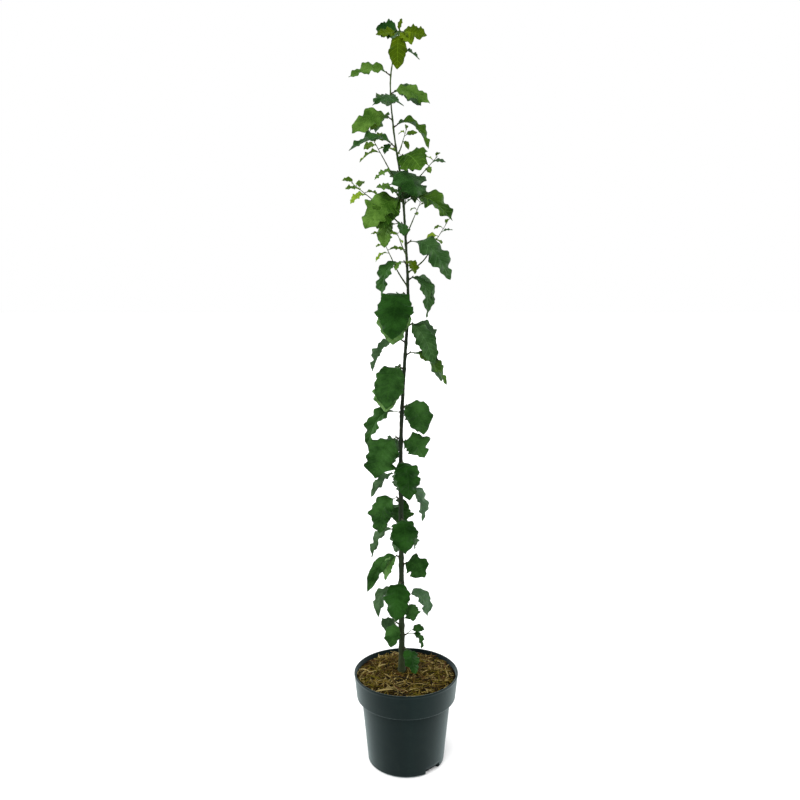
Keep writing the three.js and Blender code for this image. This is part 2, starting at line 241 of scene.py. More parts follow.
def outward(turn, rise):  # turn from the right towards the back, rise above level
    turn, rise = np.radians(turn), np.radians(rise)
    level = np.cos(rise)
    return np.stack([level * np.cos(turn), level * np.sin(turn), np.sin(rise)], axis=-1)


def turnOf(direction):
    return np.degrees(np.arctan2(direction[1], direction[0]))


def unit(vectors):
    return vectors / np.linalg.norm(vectors, axis=-1, keepdims=True)


def turnedAbout(vectors, axes, angles):
    cos, sin = np.cos(angles)[..., None], np.sin(angles)[..., None]
    along = np.sum(vectors * axes, axis=-1, keepdims=True)
    return vectors * cos + np.cross(axes, vectors) * sin + axes * along * (1 - cos)


def smoothLine(knots, perSpan):  # a centripetal curve through the knots
    knots = np.array(knots, float)
    first, last = 2 * knots[0] - knots[1], 2 * knots[-1] - knots[-2]
    chain = np.vstack([first, knots, last])
    shares = np.linspace(0, 1, perSpan, endpoint=False)[:, None]
    line = []
    for a, b, c, d in zip(chain, chain[1:], chain[2:], chain[3:]):
        before, here, after = (np.linalg.norm(q - p) ** 0.5 for p, q in ((a, b), (b, c), (c, d)))
        leave = ((b - a) / before - (c - a) / (before + here) + (c - b) / here) * here
        arrive = ((c - b) / here - (d - b) / (here + after) + (d - c) / after) * here
        square = -3 * b + 3 * c - 2 * leave - arrive
        cube = 2 * b - 2 * c + leave + arrive
        line.append(b + leave * shares + square * shares ** 2 + cube * shares ** 3)
    return np.vstack([*line, knots[-1:]])


def wallFaces(rings, sides):  # faces between rings of corners
    ring, spot = np.meshgrid(np.arange(rings - 1), np.arange(sides), indexing="ij")
    here, then = ring * sides + spot, ring * sides + (spot + 1) % sides
    return np.stack([here, then, then + sides, here + sides], -1).reshape(-1, 4)


def tube(line, radii, sides):  # a closed round rod along a line, with an even number of sides
    radii = np.broadcast_to(radii, len(line))
    along = unit(np.gradient(line, axis=0))
    slant = [0.36, 0.48, 0.8]  # a direction that no rod runs in
    across = [unit(np.cross(along[0], slant))]
    for direction in along[1:]:
        across.append(unit(across[-1] - direction * (across[-1] @ direction)))
    across = np.array(across)
    upright = np.cross(along, across)
    angles = np.arange(sides) * 2 * np.pi / sides
    ring = across[:, None] * np.cos(angles)[:, None] + upright[:, None] * np.sin(angles)[:, None]
    body = (line[:, None] + ring * radii[:, None, None]).reshape(-1, 3)
    first = np.arange(0, sides, 2)  # each end is closed by quads over two sides
    second, third = first + 1, (first + 2) % sides
    last = len(body) - sides
    foot, tip = np.full(len(first), len(body)), np.full(len(first), len(body) + 1)
    footCap = np.stack([foot, third, second, first], -1)
    tipCap = np.stack([tip, last + first, last + second, last + third], -1)
    points = np.vstack([body, line[:1], line[-1:]])
    return points, np.vstack([wallFaces(len(line), sides), footCap, tipCap])


# camera, light and floor

camSet = dict(  # place in metres, focus and frame in pixels
    place=(-0.013, -1.593, 1.0), pitch=8, focus=795, frame=800, sensor=36, farEnd=200)

deselectAll()
bpy.ops.object.camera_add(
    location=camSet["place"], rotation=(math.radians(90 - camSet["pitch"]), 0, 0))
camera = bpy.context.object
camera.data.sensor_width = camSet["sensor"]
camera.data.lens = camSet["sensor"] * camSet["focus"] / camSet["frame"]
camera.data.clip_end = camSet["farEnd"]
bpy.context.scene.camera = camera
bpy.context.scene.view_settings.view_transform = "Standard"

lightSet = dict(
    sky=1.0, lampPlace=(-1, -2, 3),
    lamps=[(2.2, (48, 0, -24), 45, False), (2.4, (81, 0, -108), 45, True),
           (2.4, (81, 0, 108), 45, True)])  # power, turn, spread, mirrored in glossy things

studio = bpy.data.worlds.new("studio")
studio.use_nodes = True
sky = studio.node_tree.nodes["Background"]
sky.inputs["Color"].default_value = (1, 1, 1, 1)
sky.inputs["Strength"].default_value = lightSet["sky"]
bpy.context.scene.world = studio
for power, turn, spread, mirrored in lightSet["lamps"]:
    bpy.ops.object.light_add(
        type="SUN", location=lightSet["lampPlace"], rotation=[math.radians(a) for a in turn])
    lamp = bpy.context.object
    lamp.data.energy = power
    lamp.data.angle = math.radians(spread)
    lamp.visible_glossy = mirrored

floorSet = dict(size=60, tones=((248, 248, 248), (252, 252, 252)))  # size in metres

deselectAll()
bpy.ops.mesh.primitive_plane_add(size=floorSet["size"])
floor = bpy.context.object
floor.name = "paleFloor"
paper = Finish("palePaper")
floor.data.materials.append(paper.surface({
    "Base Color": paper.blend(paper.noise(30), *floorSet["tones"]),
    "Roughness": 0.9, "Specular IOR Level": 0.1}))
print("camera, light and floor set")


# pot

potSet = dict(
    sides=144, foot=(77, 0),
    rings=[(81, 4), (82.6, 20), (86.5, 60), (90.4, 100), (94.3, 139.4), (94.5, 141.4), (95.2, 142.4),
           (104, 142.4), (104.6, 143.2), (104.8, 145), (106.2, 158), (109.4, 188.6), (109.6, 190.6),
           (110, 191.4), (110, 194.2), (109.2, 195), (107.2, 195), (106.5, 194.2),
           (102.5, 146), (92.5, 142), (79, 7), (75, 3)],  # radius and height, up outside and down inside
    notchTurns=(-46, 134), notchSize=(24, 40, 28), notchMiddle=81,
    bevel=0.5, bevelFrom=40, smoothTo=32,
    bodyTones=((3, 11, 11), (7, 16, 15)), flowTone=(11, 25, 24),
    dustTone=(32, 39, 33), dustTop=60, scuffTone=(38, 52, 50), scuffZone=(187, 196))


def potFinish():
    plastic = Finish("potPlastic")
    up = plastic.height()
    cloud = plastic.noise(14, 4)
    flow = plastic.noise(26, 3, plastic.stretched(1, 1, 0.12))  # upright flow lines
    dust = plastic.noise(55, 6)
    scuff = plastic.noise(240, 3, plastic.stretched(0.3, 0.3, 3))
    low = 1 - plastic.step(up, 0.0, potSet["dustTop"] * mm)
    high = plastic.step(up, *(height * mm for height in potSet["scuffZone"]))
    colour = plastic.blend(cloud, *potSet["bodyTones"])
    colour = plastic.blend(plastic.step(flow, 0.4, 0.75) * 0.4, colour, potSet["flowTone"])
    dusty = plastic.step(dust, 0.5, 0.78) * (0.12 + low * 0.4)
    colour = plastic.blend(dusty, colour, potSet["dustTone"])
    worn = plastic.step(scuff, 0.62, 0.72) * (0.1 + high * 0.35)
    colour = plastic.blend(worn, colour, potSet["scuffTone"])
    relief = plastic.noise(1500, 2) * 0.5 + flow * 0.5
    return plastic.surface({
        "Base Color": colour,
        "Roughness": 0.42 + cloud * 0.12 + dusty * 0.4,
        "Specular IOR Level": 0.05, "Specular Tint": (0.72, 1.0, 1.0, 1.0),
        "Sheen Weight": 0.3, "Sheen Roughness": 0.42, "Sheen Tint": (0.8, 1.0, 1.0, 1.0),
        "Normal": plastic.bump(relief, 0.16, 0.0006)})


def cutDrain(shell, turn):
    deselectAll()
    bpy.ops.mesh.primitive_cube_add(size=1)
    block = bpy.context.object
    block.scale = [size * mm for size in potSet["notchSize"]]
    block.location = outward(turn, 0) * potSet["notchMiddle"] * mm
    block.rotation_euler = (0, 0, math.radians(turn))
    bpy.ops.object.transform_apply(location=True, rotation=True, scale=True)
    applyModifier(shell, "BOOLEAN", operation="DIFFERENCE", object=block, solver="EXACT")
    bpy.data.objects.remove(block)


def makePot():
    drawUp(potSet["sides"], potSet["foot"], potSet["rings"])
    shell = leaveEdit("potShell")
    for turn in potSet["notchTurns"]:
        cutDrain(shell, turn)
    applyModifier(shell, "BEVEL", width=potSet["bevel"] * mm, segments=2, limit_method="ANGLE",
                  angle_limit=math.radians(potSet["bevelFrom"]), harden_normals=False)
    deselectAll()
    shell.select_set(True)
    bpy.ops.object.shade_smooth_by_angle(angle=math.radians(potSet["smoothTo"]))
    shell.data.materials.append(potFinish())
    addToFrame(shell, "pot", "pot")


makePot()


# growing medium

bedSet = dict(
    sides=144, foot=(74, 11.2), rings=[(91.6, 141), (101.4, 146.8), (105.2, 186.5)],
    insets=30, insetWidth=3.4, topFrom=186,
    profile=[(0, 194.4), (24, 194), (72, 191), (92, 188), (105.2, 185.5)],  # radius and height of the top
    lumps=[(14, 6), (4, 2.4)],  # size and height
    lumpMiddle=0.62, edgeFade=6, earthTones=((16, 11, 4), (38, 29, 11)), fibreTone=(80, 68, 30))


def bedHeight(radius):
    radii, heights = zip(*bedSet["profile"])
    return np.interp(radius, radii, heights)


def bedFinish():
    earth = Finish("bedEarth")
    clod = earth.noise(120, 6)
    fibre = earth.noise(600, 4, earth.stretched(1, 0.25, 1))
    speck = earth.cells(260, "F1")
    colour = earth.blend(clod, *bedSet["earthTones"])
    colour = earth.blend(earth.step(fibre, 0.52, 0.7) * 0.6, colour, bedSet["fibreTone"])
    return earth.surface({
        "Base Color": colour,
        "Roughness": 0.95, "Specular IOR Level": 0.05,
        "Normal": earth.bump(clod * 0.6 + speck * 0.6 + fibre * 0.3, 0.9, 0.003)})


def makeBed():
    drawUp(bedSet["sides"], bedSet["foot"], bedSet["rings"])
    for ring in range(bedSet["insets"]):  # rings for the lumps
        bpy.ops.mesh.inset(thickness=bedSet["insetWidth"] * mm)
    bed = leaveEdit("compostBed")
    top = bed.vertex_groups.new(name="top")
    edge = bedSet["rings"][-1][0] * mm
    for vertex in bed.data.vertices:
        reach = math.hypot(vertex.co.x, vertex.co.y)
        if vertex.co.z > bedSet["topFrom"] * mm:
            vertex.co.z = bedHeight(reach / mm) * mm
            top.add([vertex.index], min(1.0, bedSet["edgeFade"] * (1 - reach / edge)), "REPLACE")
    for size, height in bedSet["lumps"]:
        roughen(bed, size, height, bedSet["lumpMiddle"], "Z", "top")
    smoothAll(bed.data)
    bed.data.materials.append(bedFinish())
    addToFrame(bed, "compost", "soil")


makeBed()

chipSet = dict(
    seed=41, count=2100, reach=104, trunkSpot=(-9, 0), trunkClear=8, sunk=1,
    length=(8, 46), lengthBias=1.8, width=(1.3, 5.2), shortWidth=0.6, thick=(0.4, 1.1), thickShare=0.6,
    tilt=13, roll=24, bow=0.2, sway=0.3, lift=3.4, liftBias=1.5,
    rings=5, endSlim=0.55, endFlat=0.4, endBend=3, edges=(0.4, 0.3),
    tones={"chipGold": ((80, 66, 22), (102, 86, 36)), "chipStraw": ((114, 100, 55), (147, 131, 86)),
           "chipBrown": ((50, 38, 12), (68, 53, 19)), "chipDark": ((18, 13, 5), (30, 23, 9)),
           "chipRust": ((54, 33, 13), (72, 47, 20)), "chipMoss": ((60, 54, 8), (82, 74, 16))},
    innerShares=(0.23, 0.13, 0.24, 0.2, 0.07, 0.13), outerShares=(0.29, 0.3, 0.16, 0.08, 0.05, 0.12))


def chipFinish(name, dark, light):
    wood = Finish(name)
    grain = wood.noise(900, 4, wood.stretched(1, 0.3, 1))
    patch = wood.noise(160, 2)
    return wood.surface({
        "Base Color": wood.blend(grain * 0.6 + patch * 0.4, dark, light),
        "Roughness": 0.85, "Specular IOR Level": 0.06,
        "Normal": wood.bump(grain, 0.5, 0.0006)})


def drawChip(draw):  # one chip by chance: its middle line, its corners and its tone
    radius = chipSet["reach"] * math.sqrt(draw.random())
    around = draw.random() * 2 * math.pi
    length = mix(*chipSet["length"], draw.random() ** chipSet["lengthBias"])
    fullness = mix(chipSet["shortWidth"], 1, length / chipSet["length"][1])
    width = draw.uniform(*chipSet["width"]) * fullness
    thick = min(draw.uniform(*chipSet["thick"]), width * chipSet["thickShare"])
    heading = draw.random() * 360
    tilt = chipSet["tilt"] * np.tanh(draw.normal())
    roll = chipSet["roll"] * draw.normal()
    bow = chipSet["bow"] * draw.normal()
    sway = chipSet["sway"] * draw.normal()
    lift = chipSet["lift"] * draw.random() ** chipSet["liftBias"]
    outer = (radius / chipSet["reach"]) ** 2
    shares = np.array(chipSet["innerShares"]) * (1 - outer) + np.array(chipSet["outerShares"]) * outer
    tone = draw.choice(len(shares), p=shares)

    spread = np.linspace(-0.5, 0.5, chipSet["rings"])
    along = outward(heading, tilt)
    side = turnedAbout(outward(heading + 90, 0), along, np.radians(roll))
    face = np.cross(along, side)
    height = bedHeight(radius) - chipSet["sunk"] + lift
    line = np.array([radius * math.cos(around), radius * math.sin(around), height])
    line = line + np.outer(spread * length, along)
    line += np.outer((0.25 - spread ** 2) * length, face * bow + side * sway)
    end = np.abs(spread * 2)[:, None] ** chipSet["endBend"]
    slim = side * width / 2 * (1 - chipSet["endSlim"] * end)
    flat = face * thick / 2 * (1 - chipSet["endFlat"] * end)
    right, left = chipSet["edges"]  # how far the two edges stand up
    corners = [line + slim + flat * right, line + flat, line - slim + flat * left, line - flat]
    return line, np.stack(corners, axis=1).reshape(-1, 3), tone


def makeChips():
    draw = np.random.default_rng(chipSet["seed"])
    heap = Heap()
    last = 4 * (chipSet["rings"] - 1)
    ends = np.array([[3, 2, 1, 0], [last, last + 1, last + 2, last + 3]])
    faces = np.vstack([wallFaces(chipSet["rings"], 4), ends])
    laid = 0
    while laid < chipSet["count"]:
        line, corners, tone = drawChip(draw)
        reach = np.hypot(*line[:, :2].T)
        nearTrunk = np.hypot(*(line[:, :2] - chipSet["trunkSpot"]).T)
        if reach.max() > chipSet["reach"] or nearTrunk.min() < chipSet["trunkClear"]:
            continue
        laid += 1
        heap.add(corners, faces, tone)
    tones = [chipFinish(name, *pair) for name, pair in chipSet["tones"].items()]
    addToFrame(heap.piece("woodChips", tones), "compost")


makeChips()


# trunk

trunkSet = dict(
    line=[(195.3, -9, 0), (400, -10, 2), (560, -11, -2), (700, -11, -3), (830, -5, 1), (977, 3, 3),
          (1095, -2, 0), (1195, -9, -2), (1300, -25, 2), (1400, -31, 3), (1476, -16, 0)],
    perSpan=60, footRadius=6.7, tipRadius=1.1, taper=0.8, flare=2.4, flareHeight=16,
    step=1.8, roundness=12, buried=5, nodeSwell=0.9, nodeLength=5, fullNode=5, leastNode=0.3,
    relief=[(11, 1.12), (3.5, 0.64)],  # size and height
    tones=[(0.13, (38, 44, 25)), (0.22, (25, 37, 18)), (0.5, (16, 27, 13)),
           (0.68, (20, 33, 14)), (0.85, (33, 52, 19)), (1.0, (58, 80, 27))],  # from the foot up
    toneRise=0.66, toneRipple=0.03, blotchTone=(48, 62, 35), furrowTone=(10, 13, 7))

trunkLine = smoothLine([(x, y, z) for z, x, y in trunkSet["line"]], trunkSet["perSpan"])
trunkFoot, trunkTip = trunkLine[0, 2], trunkLine[-1, 2]


def trunkAt(height):
    return np.stack([np.interp(height, trunkLine[:, 2], trunkLine[:, i]) for i in range(3)], -1)


def trunkRadius(height):
    share = np.clip((height - trunkFoot) / (trunkTip - trunkFoot), 0, 1)
    flare = trunkSet["flare"] * np.exp((trunkFoot - height) / trunkSet["flareHeight"])
    return mix(trunkSet["footRadius"], trunkSet["tipRadius"], share ** trunkSet["taper"]) + flare


# leaves on the trunk: height of the spur, a letter for the shade of each leaf, then for each leaf
# its turn, stalk, length, width, rise, hang, roll and fold; a capital letter has deep lobes
spurs = [
    (244, "p", [(-58, 8, 56, 36, 0, 68, 0, -8)]),
    (272, "dd", [(-6, 13, 42, 18, 5, 85, 30, 20), (-24, 18, 28, 18, 44, 6, 44, 10)]),
    (296, "dd", [(-114, 6, 50, 34, -20, 80, -10, -10), (112, 14, 66, 36, 4, 66, 0, 10)]),
    (352, "gd", [(-12, 14, 70, 31, 42, 85, 30, 16), (-46, 15, 36, 36, -46, 80, 10, -6)]),
    (364, "gd", [(160, 9, 88, 28, 10, 88, 40, 20), (94, 16, 76, 42, 0, 72, -62, 12)]),
    (388, "p", [(-102, 8, 86, 54, 5, 85, 0, -8)]),
    (428, "D", [(-28, 1, 53, 48, 26, 50, 40, 8)]),
    (444, "dc", [(206, 5, 98, 28, 6, 66, -30, 20), (228, 6, 56, 22, 0, 74, -20, 10)]),
    (498, "gdg", [(34, 13, 62, 32, 0, 90, 10, 22), (102, 12, 72, 40, -24, 76, 60, 8),
                  (158, 19, 88, 24, -8, 74, 40, 26)]),
    (524, "p", [(-80, 8, 78, 56, 8, 85, 0, -8)]),
    (566, "dd", [(200, 8, 84, 50, -8, 88, -40, 8), (75, 14, 58, 50, -52, 85, 180, -6)]),
    (582, "g", [(14, 2, 84, 38, 4, 88, 35, 24)]),
    (620, "gd", [(150, 14, 80, 24, -18, 58, 35, 28), (88, 14, 80, 44, 4, 72, -60, 8)]),
    (645, "p", [(-72, 8, 88, 54, 5, 85, 0, -6)]),
    (688, "D", [(-32, 0, 60, 54, 28, 56, 40, 6)]),
    (694, "Dd", [(212, 8, 92, 66, -20, 76, -38, -4), (108, 12, 76, 42, -24, 74, 62, 10)]),
    (744, "dd", [(185, 13, 98, 40, 10, 76, -34, 18), (40, 10, 70, 42, 16, 76, -30, 8)]),
    (760, "d", [(-38, 0, 80, 54, 22, 76, 34, 4)]),
    (838, "dcd", [(240, 7, 98, 60, -4, 80, -28, -6), (212, 16, 84, 60, -40, 88, -26, 0),
                  (104, 12, 80, 44, -14, 64, -58, 10)]),
    (866, "md", [(-10, 9, 96, 38, 0, 60, 26, 16), (20, 16, 86, 34, 0, 66, -16, 18)]),
    (892, "g", [(176, 17, 78, 34, -10, 72, 35, 24)]),
    (924, "sd", [(-28, 1, 96, 42, -24, 70, 38, 4), (34, 6, 72, 40, 4, 66, -36, 10)]),
    (984, "pcd", [(246, 8, 112, 70, 4, 84, -22, -6), (230, 18, 92, 64, -44, 88, -24, 0),
                  (104, 12, 78, 42, -12, 66, 60, 10)]),
    (1016, "sd", [(-4, 2, 94, 30, -2, 96, 46, 8), (14, 8, 78, 26, 6, 92, -42, 8)]),
    (1046, "ofd", [(-46, 8, 36, 26, 12, 72, 10, 10), (-140, 5, 27, 15, 5, 60, 0, 16),
                   (184, 14, 84, 36, -4, 90, -44, 12)]),
    (1086, "s", [(-14, 9, 110, 52, 2, 64, 46, 0)]),
    (1120, "df", [(-86, 3, 40, 26, -6, 52, -34, 10), (182, 14, 56, 36, 0, 90, -48, 8)]),
    (1160, "mdd", [(-18, 7, 110, 54, 42, 48, 38, 10), (76, 10, 66, 42, 60, -10, 0, 10),
                   (124, 12, 76, 44, 20, 50, -56, 8)]),
    (1168, "Fmf", [(204, 1, 98, 56, 4, 56, -54, 0), (214, 2, 80, 50, -16, 62, -50, 0),
                   (206, 4, 54, 40, 64, 0, -30, 8)]),
    (1220, "dfd", [(-46, 6, 76, 80, 5, 66, 14, -16), (-176, 12, 40, 22, 10, 40, -30, 10),
                   (80, 8, 56, 44, 14, 50, 0, 8)]),
    (1250, "md", [(-54, 1, 74, 58, 15, 44, 38, -4), (64, 5, 54, 38, 14, 44, -20, 8)]),
    (1270, "dd", [(194, 5, 90, 36, 42, 32, -34, 18), (222, 3, 28, 15, 5, 70, -20, 12)]),
    (1308, "m", [(-8, 3, 86, 30, 36, 66, 26, 26)]),
    (1322, "Fm", [(194, 1, 84, 37, 24, 42, -60, 6), (116, 12, 62, 32, 30, 44, -20, 8)]),
    (1370, "fm", [(-6, 0, 76, 34, 23, 34, 56, 8), (30, 8, 62, 28, 28, 42, -44, 8)]),
    (1363, "dm", [(-89, 4, 52, 57, 6, 36, -4, -26), (92, 8, 60, 42, 14, 14, 0, 8)]),
    (1404, "f", [(178, 5, 74, 30, 36, 24, -58, 12)]),
    (1442, "m", [(-14, 9, 40, 15, 12, 45, 20, 24)]),
]
# the third rosette leaf's pine shade is painted shade: it stands behind the lit olive leaves
rosetteShades = "oopolom"
rosette = [
    (60, 3, 25, 10, 76, -66, 0, 26), (197, 3, 44, 24, -8, 14, -50, 8), (174, 3, 42, 42, 10, -6, -60, 8),
    (-8, 6, 48, 32, -4, 14, 60, 8), (-34, 5, 36, 26, -26, 56, 44, 8), (-104, 9, 66, 34, -62, 88, 0, -6),
    (110, 6, 36, 22, 20, 20, 0, 10),
]
# side shoots: height, turn, length, rise, lift, length of the leafy end, leaves, largest leaf
shoots = {
    "shoot_left_foot": (1002, 154, 74, 54, 8, 44, 6, 40),
    "shoot_right_tip": (1030, 20, 84, 36, 20, 46, 5, 30),
    "shoot_left_bent": (1064, 230, 30, 50, 8, 20, 4, 22),
    "shoot_right_inner": (1100, 30, 46, 62, 2, 32, 4, 20),
    "shoot_left_long": (1114, 162, 100, 44, -6, 44, 6, 44),
    "shoot_right_high": (1184, 26, 68, 40, 6, 36, 5, 32),
    "shoot_left_high": (1186, 150, 88, 56, 2, 56, 7, 46),
    "shoot_top_right": (1256, 10, 24, 60, 12, 26, 5, 28),
}


def barkFinish():
    bark = Finish("youngBark")
    ripple = bark.noise(60, 3)
    fibre = bark.noise(420, 4, bark.stretched(1, 1, 0.12))
    blotch = bark.noise(34, 4, bark.stretched(1, 1, 0.5))
    band = bark.noise(300, 2, bark.stretched(0.3, 0.3, 2.2))
    up = bark.height() * trunkSet["toneRise"] + ripple * trunkSet["toneRipple"]
    colour = bark.ramp(up, trunkSet["tones"])
    colour = bark.blend(bark.step(blotch, 0.45, 0.7) * 0.35, colour, trunkSet["blotchTone"])
    colour = bark.blend(bark.step(fibre, 0.5, 0.72) * 0.4, colour, trunkSet["furrowTone"])
    return bark.surface({
        "Base Color": colour,
        "Roughness": 0.6 + fibre * 0.2, "Specular IOR Level": 0.14,
        "Normal": bark.bump(fibre * 0.6 + band * 0.4, 0.6, 0.0009)})


def drawLimbs(name, limbs, roundness):  # round limbs drawn as one curve, then made a mesh
    deselectAll()
    bpy.ops.curve.primitive_nurbs_path_add()
    drawing = bpy.context.object.data
    drawing.splines.clear()
    for line, radii in limbs:
        spline = drawing.splines.new("POLY")
        spline.points.add(len(line) - 1)
        for point, spot, radius in zip(spline.points, line, radii):
            point.co = (*(spot * mm), 1)
            point.radius = radius
    drawing.bevel_depth = mm
    drawing.bevel_resolution = roundness
    drawing.use_fill_caps = True
    bpy.ops.object.convert(target="MESH")
    bpy.ops.object.mode_set(mode="EDIT")
    bpy.ops.mesh.select_all(action="SELECT")
    bpy.ops.mesh.remove_doubles(threshold=0.00001)
    limb = leaveEdit(name)
    limb.data.name = name
    smoothAll(limb.data)
    return limb


def makeTrunk():
    heights = np.arange(trunkFoot - trunkSet["buried"], trunkTip, trunkSet["step"])
    line = trunkAt(np.maximum(heights, trunkFoot))
    line[:, 2] = heights
    line = np.vstack([line, trunkLine[-1:]])
    heights = line[:, 2]
    radii = trunkRadius(np.maximum(heights, trunkFoot))
    for height, letters, leaves in spurs:  # swollen nodes
        gap = (heights - height) / trunkSet["nodeLength"]
        size = trunkSet["nodeSwell"] * np.clip(radii / trunkSet["fullNode"], trunkSet["leastNode"], 1)
        radii = radii + size * np.exp(-gap ** 2)
    trunk = drawLimbs("trunkBark", [(line, radii)], trunkSet["roundness"])
    for size, height in trunkSet["relief"]:
        roughen(trunk, size, height, middle=0.5, direction="NORMAL")
    trunk.data.materials.append(barkFinish())
    addToFrame(trunk, "bark", "trunk")


makeTrunk()

poreSet = dict(
    seed=7, count=420, size=(0.5, 1.5), flatness=0.38, height=0.3, innerShare=0.5,
    sunk=0.1, depth=0.3, foot=6, top=1330, footBias=1.3, tones=((58, 56, 38), (84, 78, 56)))


def poreFinish():
    cork = Finish("corkPores")
    speck = cork.noise(900)
    return cork.surface({
        "Base Color": cork.blend(speck, *poreSet["tones"]),
        "Roughness": 0.9, "Specular IOR Level": 0.1, "Normal": cork.bump(speck, 0.4, 0.0004)})


def makePores():  # lenticels, short level dashes in the bark
    draw = np.random.default_rng(poreSet["seed"])
    heap = Heap()
    corners = 6
    angles = np.arange(corners) * 2 * math.pi / corners
    lids = np.array([[6, 7, 8, 9], [6, 9, 10, 11], [3, 2, 1, 0], [5, 4, 3, 0]])  # for six corners
    faces = np.vstack([wallFaces(2, corners), lids])
    for i in range(poreSet["count"]):
        share = draw.random() ** poreSet["footBias"]
        height = trunkFoot + poreSet["foot"] + (poreSet["top"] - trunkFoot) * share
        out = outward(draw.random() * 360, 0)
        side = np.cross(upward, out)
        wide = draw.uniform(*poreSet["size"])
        radius = trunkRadius(height)
        spot = trunkAt(height) + out * (radius - poreSet["sunk"])
        ring = spot + np.outer(np.cos(angles) * wide, side)
        ring += np.outer(np.sin(angles) * wide * poreSet["flatness"], upward)
        ring -= np.outer((np.cos(angles) * wide) ** 2 / (2 * radius), out)  # round the trunk
        inner = mix(spot, ring, poreSet["innerShare"]) + out * poreSet["height"]
        heap.add(np.vstack([ring - out * poreSet["depth"], inner]), faces)
    addToFrame(heap.piece("barkPores", [poreFinish()]), "bark")


makePores()


# side shoots

shootSet = dict(
    footRadius=1.7, tipRadius=0.9, endRadius=0.5, perSpan=30, roundness=3,
    nodeGap=17, nodeSwell=0.35, nodeSharpness=8, collar=1.2, collarSteps=6,
    tones=((33, 50, 18), (56, 75, 29), (50, 38, 22)))


def shootLine(height, turn, length, rise, lift):
    foot = trunkAt(height)
    middle = foot + outward(turn, rise) * length / 2
    tip = middle + outward(turn, rise + lift) * length / 2
    return smoothLine([foot, middle, tip], shootSet["perSpan"])


def twigFinish(name, dark, light, rust):
    twig = Finish(name)
    patch = twig.noise(70, 3)
    fibre = twig.noise(700, 3, twig.stretched(1, 1, 0.2))
    colour = twig.blend(patch, dark, light)
    colour = twig.blend(twig.step(fibre, 0.5, 0.75) * 0.4, colour, rust)
    return twig.surface({
        "Base Color": colour, "Roughness": 0.5 + fibre * 0.15, "Specular IOR Level": 0.12,
        "Normal": twig.bump(fibre, 0.35, 0.0005)})


def makeShoots():
    limbs = []
    steps = shootSet["collarSteps"]
    for height, turn, length, rise, lift, *leafy in shoots.values():
        line = shootLine(height, turn, length, rise, lift)
        share = np.linspace(0, 1, len(line))
        node = np.clip(np.cos(2 * math.pi * share * length / shootSet["nodeGap"]), 0, 1)
        radii = mix(shootSet["footRadius"], shootSet["tipRadius"], share)
        radii += shootSet["nodeSwell"] * node ** shootSet["nodeSharpness"]
        radii[:steps] += np.linspace(shootSet["collar"], 0, steps)  # where it leaves the trunk
        limbs.append((line, radii))
    twigs = drawLimbs("sideShoots", limbs, shootSet["roundness"])
    twigs.data.materials.append(twigFinish("shootBark", *shootSet["tones"]))
    addToFrame(twigs, "shoot", *shoots)


makeShoots()


# leaves

leafSet = dict(
    rows=72, columns=(0.0, 0.03, 0.13, 0.27, 0.42, 0.57, 0.72, 0.87, 1.0), veinEvery=9, toothEvery=3,
    smallRows=36, smallColumns=(0.0, 0.05, 0.3, 0.6, 1.0), smallLength=36, lineSteps=240,
    bend=2.6, sweep=0.7, widest=0.86, fullness=0.62, pointStart=0.82, pointSlim=0.5, pointBend=1.5,
    rootWidth=0.51, rollShare=1 / 6, twist=46, foldedTwist=90, foldedFrom=18, twistBend=1.6, twistChance=3,
    lobe=0.1, lobeWaves=[(2.3, 7, 0.8, 1.0), (4.1, 8, -1.7, 0.6)],  # count, chance, shift, depth
    deepLobes=2.4, leastLobes=0.6, lobeGain=3.6, lobesFrom=0.55, lobeEdge=2,  # Edge: how near the margin
    scallop=0.035, scallopWave=(6.5, 5, 1.3), tooth=0.024, toothEdge=4,
    smallCalm=0.55, leastCalm=0.5, calmBelow=0.62,
    ruffle=0.05, ruffleWaves=3, ruffleEdge=1.5, fineRuffle=0.036, fineWave=(6.5, 9, 0.9), fineEdge=2.2,
    pucker=0.015, puckerPlace=0.7, groove=0.004, veinGroove=0.7,
    ribDepth=0.9, ribWidth=0.05, ribFade=0.8, veinDepth=0.25,
    thick=0.42, edgeThick=0.16, leastThick=0.4, fullThickLength=90)

# the spread between each darker and lighter green is partly painted shading: lighter patches are painted
# sheen, darker ones painted shade in the folds
shades = {  # upper side: darker and lighter green of one leaf, known by its first letter
    "pine": ((9, 36, 3), (29, 63, 18)),
    "dark": ((14, 41, 7), (43, 76, 31)),
    "mid": ((24, 51, 5), (54, 84, 21)),
    # sage is dark green paled and blued by a painted sheen
    "sage": ((26, 53, 19), (51, 80, 40)),
    "grey": ((42, 66, 42), (76, 99, 75)),
    "fresh": ((38, 68, 13), (79, 111, 43)),
    "cool": ((46, 79, 32), (88, 121, 68)),
    "young": ((94, 122, 24), (122, 148, 46)),
    "olive": ((45, 66, 0), (62, 80, 0)),
    "lime": ((62, 84, 2), (84, 106, 8)),
}
shadeLetters = [name[0] for name in shades]
underSides = {"under": ((48, 72, 43), (72, 97, 66)), "youngUnder": ((58, 86, 20), (82, 110, 36))}
veins = {"pineVein": ((16, 45, 7), (27, 61, 14)), "darkVein": ((25, 56, 14), (39, 73, 25)),
         "sageVein": ((42, 73, 35), (66, 97, 55)), "freshVein": ((55, 87, 24), (75, 108, 38)),
         "youngVein": ((66, 90, 6), (88, 112, 20))}
veinGroups = ("p", "d", "gs", "mfc", "yol")  # letters of the shades that share a vein
youngLetters = veinGroups[-1]


